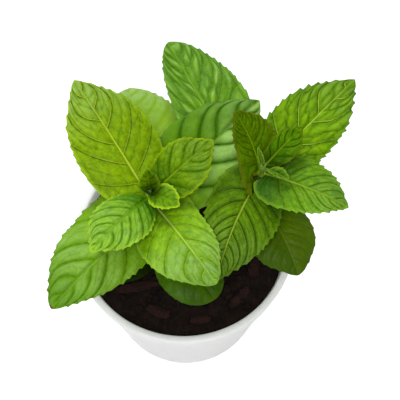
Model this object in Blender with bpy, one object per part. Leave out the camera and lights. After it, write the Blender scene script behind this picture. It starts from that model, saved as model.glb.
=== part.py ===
"""A young mint-like herb in a plain white pot: two leafy stems that stand in potting soil.

Metres, +Z up. The origin is the centre of the pot's underside, and the front of the pot faces -Y.
"""

import math
from dataclasses import dataclass

import bmesh
import bpy
from mathutils import Matrix, Vector

# Clearance between pieces that touch each other on the real thing.
GAP = 0.0003

# Pot: a tapered shell with a rim band round its mouth and drain holes in its floor.
POT_HEIGHT = 0.086
POT_BASE_RADIUS = 0.038
POT_MOUTH_RADIUS = 0.049
POT_WALL = 0.0018
POT_FLOOR = 0.0025
FOOT_CHAMFER = 0.001
BAND_HEIGHT = 0.011
BAND_PROUD = 0.0016
RIM_ROUNDING = 0.0008
DRAIN_HOLES = 4
DRAIN_HOLE_RADIUS = 0.003
DRAIN_RING_RADIUS = 0.022
DRAIN_HOLE_SIDES = 12
POT_SEGMENTS = 56

# Soil: it fills the pot to a little under the rim.
SOIL_LEVEL = 0.080
SOIL_RINGS = 7
SOIL_SWELL = 0.0008
SOIL_WAVE = 0.0006
SOCKET_DEPTH = 0.010
SOCKET_SIDES = 16

# Stems: where each one leaves the soil, and where its tip is.
STEM_FOOT_RADIUS = 0.0016
STEM_TIP_RADIUS = 0.0009
STEM_SIDES = 8
STEM_STATIONS = 9
STEM_CORNER_CUT = 0.12
STEM_ABOVE_LEAVES = 0.0008
BUD_RADIUS = 0.0009
BUD_HEIGHT = 0.0026
BUD_SLIMMING = 0.45

# Leaves: sheets of one thickness, with a grid that is finer on the large leaves.
LEAF_THICKNESS = 0.0006
STALK_HALF_WIDTH = 0.0008
TIP_HALF_WIDTH = 0.0005
LARGE_LEAF = 0.030
FINE_GRID = (6, 13)
COARSE_GRID = (4, 8)
MARGIN_STEPS = 8
MIDRIB_STEPS = 40
ROW_SPACING_POWER = 1.15

# Bark: flat chips that lie on the soil, narrower at the top.
CHIP_THICKNESS = 0.0016
CHIP_TAPER = 0.15
CHIP_CLEARANCE = 0.00045


@dataclass(frozen=True)
class Finish:
    """Colour, roughness and metallic value of one material."""

    name: str
    color: tuple
    roughness: float
    metallic: float = 0.0


WHITE_POT = Finish("white_pot", (0.86, 0.86, 0.84), 0.45)
POTTING_SOIL = Finish("potting_soil", (0.018, 0.012, 0.010), 0.95)
YOUNG_STEM = Finish("young_stem", (0.24, 0.34, 0.08), 0.60)
FRESH_LEAF = Finish("fresh_leaf", (0.16, 0.38, 0.02), 0.50)
OLD_LEAF = Finish("old_leaf", (0.07, 0.20, 0.02), 0.55)
BARK = Finish("bark", (0.060, 0.028, 0.022), 0.90)


@dataclass(frozen=True)
class Stem:
    """One stem: its foot at the soil and its tip, both from the pot's axis, and its height."""

    name: str
    foot: tuple
    tip: tuple
    height: float

    def point(self, above_soil):
        """A point on the stem's axis, at a height above the soil's level."""
        part = above_soil / self.height
        x = self.foot[0] + (self.tip[0] - self.foot[0]) * part
        y = self.foot[1] + (self.tip[1] - self.foot[1]) * part
        return Vector((x, y, SOIL_LEVEL + above_soil))

    def radius(self, above_soil):
        """The stem's radius, which tapers towards the tip."""
        part = max(0.0, above_soil / self.height)
        return STEM_FOOT_RADIUS + (STEM_TIP_RADIUS - STEM_FOOT_RADIUS) * part


@dataclass(frozen=True)
class Leaf:
    """One leaf. Lengths are in metres and angles in degrees.

    azimuth is its heading seen from above, and sweep how far that turns by the tip. pitch is its
    rise at the stem, and bend how far that changes by the tip. fold raises both halves from the
    midrib, and curl turns them down again towards the margins. roll turns the blade about its
    midrib. base_power and tip_power shape the outline: a small one is broad and blunt. skew makes
    the left half wider than the right one.
    """

    name: str
    height: float
    azimuth: float
    pitch: float
    bend: float
    length: float
    width: float
    sweep: float = 0.0
    fold: float = 10.0
    curl: float = 30.0
    roll: float = 0.0
    stalk: float = 0.002
    base_power: float = 0.55
    tip_power: float = 0.75
    skew: float = 0.0

    def half_width(self, part):
        """Half the blade's width at a part of the whole length, the stalk included."""
        along = (part * self.length - self.stalk) / (self.length - self.stalk)
        if along <= 0:
            return STALK_HALF_WIDTH
        widest = self.base_power / (self.base_power + self.tip_power)
        full = widest**self.base_power * (1 - widest) ** self.tip_power
        shape = along**self.base_power * max(0.0, 1 - along) ** self.tip_power / full
        least = STALK_HALF_WIDTH if along < widest else TIP_HALF_WIDTH
        return max(least, self.width / 2 * shape)


STEM_LEFT = Stem("stem_left", (-0.012, 0.000), (-0.0141, -0.0019), 0.062)
STEM_RIGHT = Stem("stem_right", (0.030, 0.006), (0.0345, 0.0071), 0.068)

# Pairs are numbered down from the tip, and stand at right angles to the pair above.
LEFT_LEAVES = (
    Leaf("leaf_left_1a", 0.060, 328, 30, -30, 0.016, 0.013, fold=25, curl=20, stalk=0.001),
    Leaf("leaf_left_1b", 0.060, 98, 60, -5, 0.012, 0.012, fold=40, curl=10, stalk=0.001, base_power=0.5,
         tip_power=0.55),
    Leaf("leaf_left_2a", 0.056, 36, 36, -25, 0.037, 0.024, fold=15, stalk=0.0015, tip_power=0.66),
    Leaf("leaf_left_2b", 0.056, 232, 34, -35, 0.041, 0.025, curl=40, stalk=0.0015, base_power=0.6),
    Leaf("leaf_left_3a", 0.049, 124, 28, -25, 0.065, 0.038, curl=25),
    Leaf("leaf_left_3b", 0.049, 303, 30, -29, 0.054, 0.030, stalk=0.0025, base_power=0.6, skew=-0.06),
    Leaf("leaf_left_4a", 0.038, 228, 22, -25, 0.066, 0.038, stalk=0.004, base_power=0.38, skew=0.05),
    Leaf("leaf_left_4b", 0.038, 45, 35, -43, 0.071, 0.041, fold=8, stalk=0.004, skew=0.05),
    Leaf("leaf_left_5a", 0.021, 100, 38, -75, 0.080, 0.043, fold=8, stalk=0.006, base_power=0.6,
         tip_power=0.6),
    Leaf("leaf_left_5b", 0.021, 304, 10, -30, 0.044, 0.029, fold=8, stalk=0.006, base_power=0.6,
         tip_power=0.65),
    Leaf("leaf_left_6a", 0.010, 238, 18, -30, 0.030, 0.016, fold=8, stalk=0.005, base_power=0.6),
)
RIGHT_LEAVES = (
    Leaf("leaf_right_1a", 0.066, 43, 26, -14, 0.0243, 0.0127, fold=12, curl=20, base_power=0.7,
         skew=-0.1),
    Leaf("leaf_right_1b", 0.0655, 328, 24, -15, 0.0135, 0.0068, fold=50, curl=10, stalk=0.003,
         base_power=0.8),
    Leaf("leaf_right_2a", 0.060, 104, 36, -6, 0.030, 0.0195, sweep=28, fold=14, curl=20, base_power=0.44,
         tip_power=0.65, skew=-0.15),
    Leaf("leaf_right_2b", 0.061, 336, 20, -30, 0.041, 0.025, sweep=-4, fold=12, base_power=0.42,
         tip_power=0.8),
    Leaf("leaf_right_3a", 0.056, 45, 24, -24, 0.0615, 0.032, stalk=0.0025, tip_power=0.78),
    Leaf("leaf_right_3b", 0.056, 238, 6, -28, 0.050, 0.031, sweep=18, base_power=0.36),
    Leaf("leaf_right_4a", 0.037, 119, 14, -10, 0.083, 0.0355, fold=8, stalk=0.006, base_power=0.6,
         tip_power=0.66, skew=-0.22),
    Leaf("leaf_right_4b", 0.038, 302, 25, -55, 0.043, 0.030, sweep=-12, fold=8, stalk=0.005,
         base_power=0.6, tip_power=0.62),
)
OLD_LEAVES = ("leaf_left_5b", "leaf_left_6a", "leaf_right_4b", "leaf_right_2a")


@dataclass(frozen=True)
class Chip:
    """One bark chip: its centre, its length and width, and its heading in degrees."""

    name: str
    centre: tuple
    length: float
    width: float
    heading: float


CHIPS = (
    Chip("bark_chip_1", (-0.0215, -0.0240), 0.020, 0.0045, 12),
    Chip("bark_chip_2", (-0.0120, -0.0360), 0.011, 0.0050, -25),
    Chip("bark_chip_3", (0.0260, -0.0290), 0.013, 0.0045, 48),
    Chip("bark_chip_4", (0.0080, -0.0400), 0.009, 0.0040, 5),
    Chip("bark_chip_5", (0.0330, -0.0140), 0.010, 0.0050, 80),
    Chip("bark_chip_6", (-0.0300, 0.0180), 0.014, 0.0050, 60),
)


def material(finish):
    """The Principled material of a finish, made once."""
    found = bpy.data.materials.get(finish.name)
    if found:
        return found
    made = bpy.data.materials.new(finish.name)
    made.use_nodes = True
    shader = made.node_tree.nodes["Principled BSDF"]
    shader.inputs["Base Color"].default_value = (*finish.color, 1.0)
    shader.inputs["Roughness"].default_value = finish.roughness
    shader.inputs["Metallic"].default_value = finish.metallic
    return made


def add_object(name, mesh_maker, finish, smooth=True):
    """A named object in the scene, with the mesh of a bmesh and its material."""
    mesh = bpy.data.meshes.new(name)
    mesh_maker.to_mesh(mesh)
    mesh_maker.free()
    if smooth:
        mesh.shade_smooth()
        mesh.set_sharp_from_angle(angle=math.radians(40))
    mesh.materials.append(material(finish))
    made = bpy.data.objects.new(name, mesh)
    bpy.context.scene.collection.objects.link(made)
    return made


def turned(profile, segments):
    """A closed solid, turned about Z from a profile of (radius, height) that ends on the axis."""
    made = bmesh.new()
    points = [made.verts.new((radius, 0.0, height)) for radius, height in profile]
    edges = [made.edges.new(pair) for pair in zip(points, points[1:])]
    bmesh.ops.spin(made, geom=points + edges, cent=(0, 0, 0), axis=(0, 0, 1), angle=math.tau,
                   steps=segments, use_merge=True)
    bmesh.ops.remove_doubles(made, verts=made.verts, dist=0.00001)
    bmesh.ops.recalc_face_normals(made, faces=made.faces)
    return made


def cut(target, cutter):
    """Takes the cutter's shape out of the target, and keeps the cutter out of the model."""
    cutter.hide_render = True
    cutter.display_type = "WIRE"
    boolean = target.modifiers.new(cutter.name, "BOOLEAN")
    boolean.operation = "DIFFERENCE"
    boolean.object = cutter


def cylinder(name, radius, low, high, centre, sides, finish):
    """An upright cylinder between two heights."""
    made = bmesh.new()
    bmesh.ops.create_cone(made, cap_ends=True, segments=sides, radius1=radius, radius2=radius,
                          depth=high - low)
    bmesh.ops.translate(made, verts=made.verts, vec=(centre[0], centre[1], (low + high) / 2))
    return add_object(name, made, finish, smooth=False)


def inner_radius(height):
    """The radius of the pot's inner wall at a height."""
    part = height / POT_HEIGHT
    return POT_BASE_RADIUS - POT_WALL + (POT_MOUTH_RADIUS - POT_BASE_RADIUS + POT_WALL) * part


def build_pot():
    """The tapered shell, with its rim band and the drain holes in its floor."""
    def outer(height):
        return inner_radius(height) + POT_WALL

    band_low = POT_HEIGHT - BAND_HEIGHT
    top = POT_HEIGHT
    profile = [
        (0.0, 0.0),
        (outer(0) - FOOT_CHAMFER, 0.0),
        (outer(FOOT_CHAMFER), FOOT_CHAMFER),
        (outer(band_low), band_low),
        (outer(band_low) + BAND_PROUD, band_low + BAND_PROUD / 2),
        (outer(top) + BAND_PROUD, top - RIM_ROUNDING),
        (outer(top) + BAND_PROUD - RIM_ROUNDING, top),
        (inner_radius(top) + RIM_ROUNDING, top),
        (inner_radius(top), top - RIM_ROUNDING),
        (inner_radius(POT_FLOOR), POT_FLOOR),
        (0.0, POT_FLOOR),
    ]
    pot = add_object("pot", turned(profile, POT_SEGMENTS), WHITE_POT)
    for number in range(DRAIN_HOLES):
        turn = math.tau * (number + 0.5) / DRAIN_HOLES
        centre = (DRAIN_RING_RADIUS * math.cos(turn), DRAIN_RING_RADIUS * math.sin(turn))
        hole = cylinder(f"drain_hole_{number + 1}", DRAIN_HOLE_RADIUS, -POT_FLOOR, 2 * POT_FLOOR, centre,
                        DRAIN_HOLE_SIDES, WHITE_POT)
        cut(pot, hole)


def soil_height(x, y):
    """The height of the soil's top: a low swell with shallow waves that die out at the wall."""
    part = min(1.0, math.hypot(x, y) / POT_MOUTH_RADIUS)
    calm = 1 - part**4
    wave = math.sin(190 * x + 1.3) * math.cos(160 * y - 0.4) + 0.6 * math.sin(310 * (x + y))
    return SOIL_LEVEL + SOIL_SWELL * (1 - part**2) + SOIL_WAVE * wave * calm


def build_soil():
    """The soil, with a socket for the foot of each stem."""
    low = POT_FLOOR + GAP
    edge = inner_radius(SOIL_LEVEL) - GAP
    profile = [(0.0, low), (inner_radius(low) - GAP, low)]
    profile += [(edge * (1 - ring / SOIL_RINGS), SOIL_LEVEL) for ring in range(SOIL_RINGS + 1)]
    made = turned(profile, POT_SEGMENTS)
    for vertex in made.verts:
        if vertex.co.z > SOIL_LEVEL - GAP:
            vertex.co.z = soil_height(vertex.co.x, vertex.co.y)
    soil = add_object("soil", made, POTTING_SOIL)
    for stem in (STEM_LEFT, STEM_RIGHT):
        radius = STEM_FOOT_RADIUS / math.cos(math.pi / SOCKET_SIDES) + GAP
        socket = cylinder(f"{stem.name}_socket", radius, SOIL_LEVEL - SOCKET_DEPTH,
                          SOIL_LEVEL + SOCKET_DEPTH, stem.foot, SOCKET_SIDES, POTTING_SOIL)
        cut(soil, socket)


def build_stem(stem, top):
    """A tapered stem with a squarish section, from the bottom of its socket up to a height."""
    made = bmesh.new()
    foot = GAP - SOCKET_DEPTH
    rings = []
    for station in range(STEM_STATIONS + 1):
        above = 0.0 if station == 1 else foot + (top - foot) * station / STEM_STATIONS
        centre = stem.point(max(0.0, above))
        centre.z = SOIL_LEVEL + above
        ring = []
        for side in range(STEM_SIDES):
            turn = math.tau * side / STEM_SIDES
            square = 1.0 - STEM_CORNER_CUT * (side % 2)
            reach = stem.radius(above) * square
            ring.append(made.verts.new(centre + Vector((math.cos(turn), math.sin(turn), 0)) * reach))
        rings.append(ring)
    for lower, upper in zip(rings, rings[1:]):
        for side in range(STEM_SIDES):
            after = (side + 1) % STEM_SIDES
            made.faces.new((lower[side], lower[after], upper[after], upper[side]))
    made.faces.new(list(reversed(rings[0])))
    made.faces.new(rings[-1])
    add_object(stem.name, made, YOUNG_STEM)


def build_bud(name, stem, base):
    """The growing tip: a small pointed egg on the end of the stem."""
    made = bmesh.new()
    bmesh.ops.create_icosphere(made, subdivisions=2, radius=1.0)
    foot = stem.point(base)
    for vertex in made.verts:
        rise = (vertex.co.z + 1) / 2
        slim = BUD_RADIUS * (1 - BUD_SLIMMING * rise)
        vertex.co = foot + Vector((vertex.co.x * slim, vertex.co.y * slim, rise * BUD_HEIGHT))
    add_object(name, made, YOUNG_STEM)


def leaf_frames(leaf, stem, rows):
    """Points along the midrib with the directions to the left and up from the blade."""
    lean = LEAF_THICKNESS / 2 * math.sin(math.radians(abs(leaf.pitch)))
    start = (stem.radius(leaf.height) + GAP + lean) / math.cos(math.radians(leaf.pitch)) / leaf.length
    steps = MIDRIB_STEPS
    point = stem.point(leaf.height)
    track = [(0.0, point.copy())]
    for step in range(steps):
        middle = (step + 0.5) / steps
        point = point + heading(leaf, middle) * (leaf.length / steps)
        track.append(((step + 1) / steps, point.copy()))
    frames = []
    for row in range(rows):
        part = start + (1 - start) * (row / (rows - 1)) ** ROW_SPACING_POWER
        index = min(steps - 1, int(part * steps))
        share = part * steps - index
        place = track[index][1].lerp(track[index + 1][1], share)
        ahead = heading(leaf, part)
        turn = math.radians(leaf.azimuth + leaf.sweep * part)
        left = Vector((-math.sin(turn), math.cos(turn), 0))
        up = ahead.cross(left)
        spin = Matrix.Rotation(math.radians(leaf.roll), 3, ahead)
        frames.append((part, place, spin @ left, spin @ up))
    return frames


def heading(leaf, part):
    """The midrib's direction at a part of the leaf's length."""
    turn = math.radians(leaf.azimuth + leaf.sweep * part)
    rise = math.radians(leaf.pitch + leaf.bend * part)
    return Vector((math.cos(rise) * math.cos(turn), math.cos(rise) * math.sin(turn), math.sin(rise)))


def across(leaf, side):
    """How far a point lies out and up from the midrib, for a side between -1 and 1."""
    reach = abs(side)
    out = up = 0.0
    for step in range(MARGIN_STEPS):
        middle = reach * (step + 0.5) / MARGIN_STEPS
        slope = math.radians(leaf.fold - leaf.curl * middle)
        out += math.cos(slope) * reach / MARGIN_STEPS
        up += math.sin(slope) * reach / MARGIN_STEPS
    return math.copysign(out, side), up


def build_leaf(leaf, stem):
    """A leaf: a flat grid that is bent to the leaf's shape and given its thickness."""
    columns, rows = FINE_GRID if leaf.length > LARGE_LEAF else COARSE_GRID
    made = bmesh.new()
    bmesh.ops.create_grid(made, x_segments=columns, y_segments=rows - 1, size=1.0)
    frames = leaf_frames(leaf, stem, rows)
    for vertex in made.verts:
        row = round((vertex.co.y + 1) / 2 * (rows - 1))
        side = -vertex.co.x
        part, place, left, up = frames[row]
        out, rise = across(leaf, side)
        half = leaf.half_width(part)
        if half > STALK_HALF_WIDTH:
            half *= 1 + leaf.skew * math.copysign(1, side)
        vertex.co = place + left * (half * out) + up * (half * rise)
    finish = OLD_LEAF if leaf.name in OLD_LEAVES else FRESH_LEAF
    blade = add_object(leaf.name, made, finish)
    skin = blade.modifiers.new("thickness", "SOLIDIFY")
    skin.thickness = LEAF_THICKNESS
    skin.offset = 0.0


def build_chip(chip):
    """A flat six-sided chip that lies level, just clear of the highest soil under it."""
    turn = math.radians(chip.heading)
    ahead = Vector((math.cos(turn), math.sin(turn), 0))
    side = Vector((-ahead.y, ahead.x, 0))
    centre = Vector((*chip.centre, 0))

    def spot(along, over):
        return centre + ahead * (along * chip.length / 2) + side * (over * chip.width / 2)

    outline = ((-1.0, -0.2), (-0.55, -1.0), (0.6, -0.9), (1.0, 0.1), (0.5, 1.0), (-0.7, 0.8))
    around = [(along, over) for along in (-1, -0.5, 0, 0.5, 1) for over in (-1, 0, 1)]
    rest = max(soil_height(*spot(along, over).xy) for along, over in around) + CHIP_CLEARANCE
    corners = [spot(along, over) for along, over in outline]
    made = bmesh.new()
    for corner in corners:
        corner.z = rest
    face = made.faces.new([made.verts.new(corner) for corner in corners])
    raised = bmesh.ops.extrude_face_region(made, geom=[face])["geom"]
    top = [item for item in raised if isinstance(item, bmesh.types.BMVert)]
    for vertex in top:
        inwards = Vector((centre.x - vertex.co.x, centre.y - vertex.co.y, 0)) * CHIP_TAPER
        vertex.co += inwards + Vector((0, 0, CHIP_THICKNESS))
    bmesh.ops.recalc_face_normals(made, faces=made.faces)
    add_object(chip.name, made, BARK, smooth=False)


def main():
    """Clears the scene and builds every piece."""
    for old in list(bpy.data.objects):
        bpy.data.objects.remove(old, do_unlink=True)
    build_pot()
    build_soil()
    for stem, leaves, bud in ((STEM_LEFT, LEFT_LEAVES, "bud_left"), (STEM_RIGHT, RIGHT_LEAVES, "bud_right")):
        top = leaves[0].height + STEM_ABOVE_LEAVES
        build_stem(stem, top)
        build_bud(bud, stem, top + GAP)
        for leaf in leaves:
            build_leaf(leaf, stem)
    for chip in CHIPS:
        build_chip(chip)


main()
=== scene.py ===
"""Looks for a young mint-like herb in a plain white pot, built round its fixed frame.

Metres, +Z up. The origin is the centre of the pot's underside, and the front of the pot faces -Y.
Each leaf, stem and bit of bark is made again in fine detail, in the place of its plain solid.
"""

import functools
import logging
import math
from collections.abc import Iterable
from dataclasses import dataclass, fields
from enum import Enum
from typing import Any

import bmesh
import bpy
import numpy as np
from mathutils import Matrix, Vector


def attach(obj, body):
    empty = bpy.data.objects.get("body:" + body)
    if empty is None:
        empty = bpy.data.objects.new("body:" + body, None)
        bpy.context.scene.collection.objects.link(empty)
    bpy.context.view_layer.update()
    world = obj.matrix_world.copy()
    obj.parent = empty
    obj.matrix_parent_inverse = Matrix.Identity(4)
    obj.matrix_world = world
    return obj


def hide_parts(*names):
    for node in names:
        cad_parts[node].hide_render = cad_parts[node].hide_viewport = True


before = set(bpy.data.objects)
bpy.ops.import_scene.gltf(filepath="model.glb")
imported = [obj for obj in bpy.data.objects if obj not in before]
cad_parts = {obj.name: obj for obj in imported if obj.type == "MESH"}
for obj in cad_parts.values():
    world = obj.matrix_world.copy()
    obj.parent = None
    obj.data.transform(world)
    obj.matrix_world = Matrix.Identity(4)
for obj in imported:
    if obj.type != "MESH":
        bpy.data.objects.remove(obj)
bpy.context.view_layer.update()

Socket = bpy.types.NodeSocket
log = logging.getLogger("herb")

BODY = "root"
MILLIMETRE = 0.001

# Pot.
POT_HEIGHT = 0.086
POT_BASE_RADIUS = 0.038
POT_MOUTH_RADIUS = 0.049
POT_WALL = 0.0018
POT_FLOOR = 0.0025
MILKY_DEPTH = 0.006

# Soil.
SOIL_LEVEL = 0.080
SOIL_SWELL = 0.0008
SOIL_WAVE = 0.0006

# Stems.
STEM_FOOT_RADIUS = 0.0016
STEM_TIP_RADIUS = 0.0009

# Leaves.
STALK_HALF_WIDTH = 0.0008
STALK_START = 0.4
TIP_HALF_WIDTH = 0.00015
LEAF_THICKNESS = 0.30 * MILLIMETRE
LEAF_GLOSS = 0.22

# Points of a leaf: steps along its midrib, and rows and columns of its grid.
MIDRIB_STEPS = 200
BLADE_ROWS = 200
STALK_ROWS = 8
HALF_COLUMNS = 24
COLUMN_CROWDING = 0.07

# Margins: where they start, and how teeth and lobes move them.
MARGIN_START = 0.78
LEAST_TEETH = 5
TOOTH_RISE = 0.84
TOOTH_POWER = 1.7
TOOTH_STRAY = 0.45
TOOTH_CHANGE = 0.4
TOOTH_HOOK = 0.6
LOBE_OUT = 0.4
LOBE_UP = 0.25

# Veins: how they spread and stray, in veins, and how loose the cells between them are.
VEIN_SPREAD = 0.94
VEIN_SHIFT = 0.24
VEIN_STRAY = 0.1
VEIN_START_STRAY = 0.16
CELL_LOOSENESS = (0.16, 0.42)

# Relief of the blade, in millimetres.
LUMP_WIDTH = 5
FINE_LUMP_WIDTH = 1.6
GROOVE_DEPTH = 0.28
GROOVE_WIDTH = 0.6
RIB_HEIGHT = 0.75
RIB_WIDTH = 0.55
SIDE_RIB_HEIGHT = 0.14


def display(red: float, green: float, blue: float) -> tuple[float, float, float]:
    """Turns display values from 0 to 255 into a linear colour.

    Args:
        red: Red as shown.
        green: Green as shown.
        blue: Blue as shown.

    Returns:
        The linear colour.
    """
    def linear(value: float) -> float:
        """One channel, from its shown value."""
        share = value / 255
        return share / 12.92 if share <= 0.04045 else ((share + 0.055) / 1.055) ** 2.4

    return linear(red), linear(green), linear(blue)


def ease(low: float, high: float, value: np.ndarray) -> np.ndarray:
    """A smooth step from 0 at low to 1 at high."""
    share = np.clip((value - low) / (high - low), 0, 1)
    return share * share * (3 - 2 * share)


def spot(*axes: Any) -> np.ndarray:
    """Places whose axes are given one by one, each as an array or a plain number."""
    return np.stack(np.broadcast_arrays(*axes), axis=-1)


def show(name: str, data: bpy.types.ID) -> bpy.types.Object:
    """Puts a new object with the given data in the scene.

    Args:
        name: Its name.
        data: Its mesh, light or camera.

    Returns:
        The object.
    """
    made = bpy.data.objects.new(name, data)
    bpy.context.scene.collection.objects.link(made)
    return made


class Noise:
    """Smooth noise that is the same in each run."""

    def __init__(self, seed: int) -> None:
        """Keeps the seed, a number that picks the pattern."""
        self.start = np.uint32((seed * 7919 + 13) * 3266489917 % 2**32)

    def corner(self, cell: np.ndarray) -> np.ndarray:
        """Random values for whole-number cells.

        Args:
            cell: Whole numbers, shape (..., 3).

        Returns:
            Values from -1 to 1, shape (...).
        """
        whole = cell.astype(np.int64).astype(np.uint32)
        mixed = whole[..., 0] * np.uint32(374761393)
        mixed = mixed + whole[..., 1] * np.uint32(668265263)
        mixed = mixed + whole[..., 2] * np.uint32(2246822519)
        mixed = mixed + self.start
        mixed = (mixed ^ (mixed >> np.uint32(13))) * np.uint32(1274126177)
        mixed = (mixed ^ (mixed >> np.uint32(16))) * np.uint32(2654435761)
        mixed = mixed ^ (mixed >> np.uint32(15))
        return mixed.astype(np.float64) / 2147483647.5 - 1.0

    def at(self, points: np.ndarray) -> np.ndarray:
        """One octave of noise.

        Args:
            points: Places, shape (..., 3), with cells one unit wide.

        Returns:
            Values from about -1 to 1, shape (...).
        """
        base = np.floor(points)
        share = points - base
        share = share * share * (3 - 2 * share)
        total = np.zeros(points.shape[:-1])
        for offset in np.ndindex(2, 2, 2):
            step = np.array(offset)
            weight = np.prod(np.where(step == 1, share, 1 - share), axis=-1)
            total += weight * self.corner(base + step)
        return total

    def cells(self, first: np.ndarray, second: np.ndarray, loose: tuple) -> tuple[np.ndarray, np.ndarray]:
        """A net of uneven cells on a plane.

        Args:
            first: Place along the first axis, in cells.
            second: Place along the second axis, in cells.
            loose: How far the cells' middles stray along each axis, in cells.

        Returns:
            How far each place is from the nearest edge, in cells, and a value from 0 to 1 for its cell.
        """
        near, next_near = np.full(first.shape, 9.0), np.full(first.shape, 9.0)
        pick = np.zeros(first.shape)
        row, column = np.floor(first), np.floor(second)
        for across, on in np.ndindex(3, 3):
            cell = spot(row + across - 1, column + on - 1, 17)
            one, two, own = (self.corner(cell + np.array([0, 0, salt])) for salt in (0, 5, 9))
            reach = np.hypot(row + across - 0.5 + loose[0] * one - first,
                             column + on - 0.5 + loose[1] * two - second)
            closer = reach < near
            next_near = np.where(closer, near, np.minimum(next_near, reach))
            pick = np.where(closer, 0.5 + 0.5 * own, pick)
            near = np.where(closer, reach, near)
        return (next_near - near) / 2, pick

    def layered(self, points: np.ndarray, octaves: int) -> np.ndarray:
        """Several octaves of noise, each half as large and half as strong.

        Args:
            points: Places, shape (..., 3).
            octaves: How many layers.

        Returns:
            Values from about -1 to 1, shape (...).
        """
        total = np.zeros(points.shape[:-1])
        for octave in range(octaves):
            total += self.at(points * 2**octave + 17.3 * octave) / 2**octave
        return total / (2 - 2 ** (1 - octaves))


# ---------------------------------------------------------------------------------------------
# Materials


class Bench:
    """Places shader nodes in one tree and joins them."""

    def __init__(self, tree: bpy.types.NodeTree) -> None:
        """Keeps the tree that the nodes go into."""
        self.tree = tree

    def feed(self, node: bpy.types.Node, values: dict) -> None:
        """Joins a node's inputs to other sockets, or sets them to plain values.

        Args:
            node: The node.
            values: An output socket, a number or a colour for each input, by its name or number.
        """
        for label, value in values.items():
            socket = node.inputs[label]
            if isinstance(value, Socket):
                self.tree.links.new(value, socket)
            else:
                colored = isinstance(value, tuple) and socket.type == "RGBA"
                socket.default_value = (*value, 1.0) if colored else value

    def node(self, kind: str, values: dict | None = None, **settings: Any) -> bpy.types.Node:
        """Adds a node.

        Args:
            kind: The node's type.
            values: What its inputs are fed.
            **settings: Its properties by name.

        Returns:
            The node.
        """
        made = self.tree.nodes.new(kind)
        for name, value in settings.items():
            setattr(made, name, value)
        self.feed(made, values or {})
        return made

    def math(self, operation: str, *values: Any) -> Socket:
        """A Math node's result, for up to three values."""
        return self.node("ShaderNodeMath", dict(enumerate(values)), operation=operation).outputs[0]

    def chain(self, operation: str, *values: Any) -> Socket:
        """One operation on two or more values in turn."""
        return functools.reduce(lambda first, second: self.math(operation, first, second), values)

    def times(self, *values: Any) -> Socket:
        """The product of the values."""
        return self.chain("MULTIPLY", *values)

    def plus(self, *values: Any) -> Socket:
        """The sum of the values."""
        return self.chain("ADD", *values)

    def most(self, *values: Any) -> Socket:
        """The largest of the values."""
        return self.chain("MAXIMUM", *values)

    def minus(self, first: Any, second: Any) -> Socket:
        """The first value less the second."""
        return self.math("SUBTRACT", first, second)

    def blend(self, share: Any, slope: Any, start: Any) -> Socket:
        """A value that rises from a start by a slope times a share."""
        return self.math("MULTIPLY_ADD", share, slope, start)

    def ramp(self, value: Any, low: Any, high: Any, start: float = 0.0, end: float = 1.0) -> Socket:
        """A smooth step of a value, from start at low to end at high."""
        values = {"Value": value, "From Min": low, "From Max": high, "To Min": start, "To Max": end}
        return self.node("ShaderNodeMapRange", values, interpolation_type="SMOOTHSTEP").outputs["Result"]

    def fade(self, value: Any, low: Any, high: Any) -> Socket:
        """A smooth step down, from 1 at low to 0 at high."""
        return self.ramp(value, low, high, 1.0, 0.0)

    def mix(self, share: Any, first: Any, second: Any, blend: str = "MIX") -> Socket:
        """A mix of two colours, with a share of the second."""
        values = {0: share, 6: first, 7: second}
        return self.node("ShaderNodeMix", values, data_type="RGBA", blend_type=blend).outputs[2]

    def stored(self, name: str) -> Socket:
        """A value that the mesh stores at its points."""
        return self.node("ShaderNodeAttribute", attribute_name=name).outputs["Fac"]

    def place(self) -> Socket:
        """The place in the object's own space."""
        return self.node("ShaderNodeTexCoord").outputs["Object"]

    def noise(self, scale: float, detail: float = 2.0, roughness: float = 0.5) -> Socket:
        """Noise in the object's own space, its scale in cells per metre and its detail in octaves."""
        values = {"Vector": self.place(), "Scale": scale, "Detail": detail, "Roughness": roughness}
        return self.node("ShaderNodeTexNoise", values).outputs["Fac"]

    def cells(self, scale: float, feature: str = "DISTANCE_TO_EDGE") -> Socket:
        """A distance in a net of random cells, its scale in cells per metre."""
        values = {"Vector": self.place(), "Scale": scale}
        return self.node("ShaderNodeTexVoronoi", values, feature=feature).outputs["Distance"]

    def seen(self) -> Socket:
        """1 for rays from the eye, straight, off a gloss or through glass, and 0 for others."""
        path = self.node("ShaderNodeLightPath").outputs
        return self.most(*(path[f"Is {kind} Ray"] for kind in ("Camera", "Glossy", "Transmission")))


class SharedGroup:
    """A shader node group that several materials share: a colour, a roughness and a height in millimetres."""

    name = "shared"

    def __init__(self, inputs: dict[str, Any]) -> None:
        """Starts the group.

        Args:
            inputs: Its inputs by name, each with a default: a number or a colour.
        """
        self.group = bpy.data.node_groups.new(self.name, "ShaderNodeTree")
        for label, default in inputs.items():
            colored = isinstance(default, tuple)
            kind = "NodeSocketColor" if colored else "NodeSocketFloat"
            socket = self.group.interface.new_socket(label, in_out="INPUT", socket_type=kind)
            socket.default_value = (*default, 1.0) if colored else default
        for label, kind in (("Color", "NodeSocketColor"), ("Roughness", "NodeSocketFloat"),
                            ("Height", "NodeSocketFloat")):
            self.group.interface.new_socket(label, in_out="OUTPUT", socket_type=kind)
        self.bench = Bench(self.group)
        self.given = {socket.name: socket for socket in self.bench.node("NodeGroupInput").outputs}
        self.build()

    def build(self) -> None:
        """Fills the group with its nodes."""
        raise NotImplementedError

    def close(self, color: Any, roughness: Any, height: Any) -> None:
        """Joins the group's results to its outputs."""
        self.bench.node("NodeGroupOutput", {"Color": color, "Roughness": roughness, "Height": height})

    @classmethod
    def shared(cls, inputs: dict[str, Any]) -> bpy.types.NodeTree:
        """The group, made when it is first asked for."""
        return bpy.data.node_groups.get(cls.name) or cls(inputs).group


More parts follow.
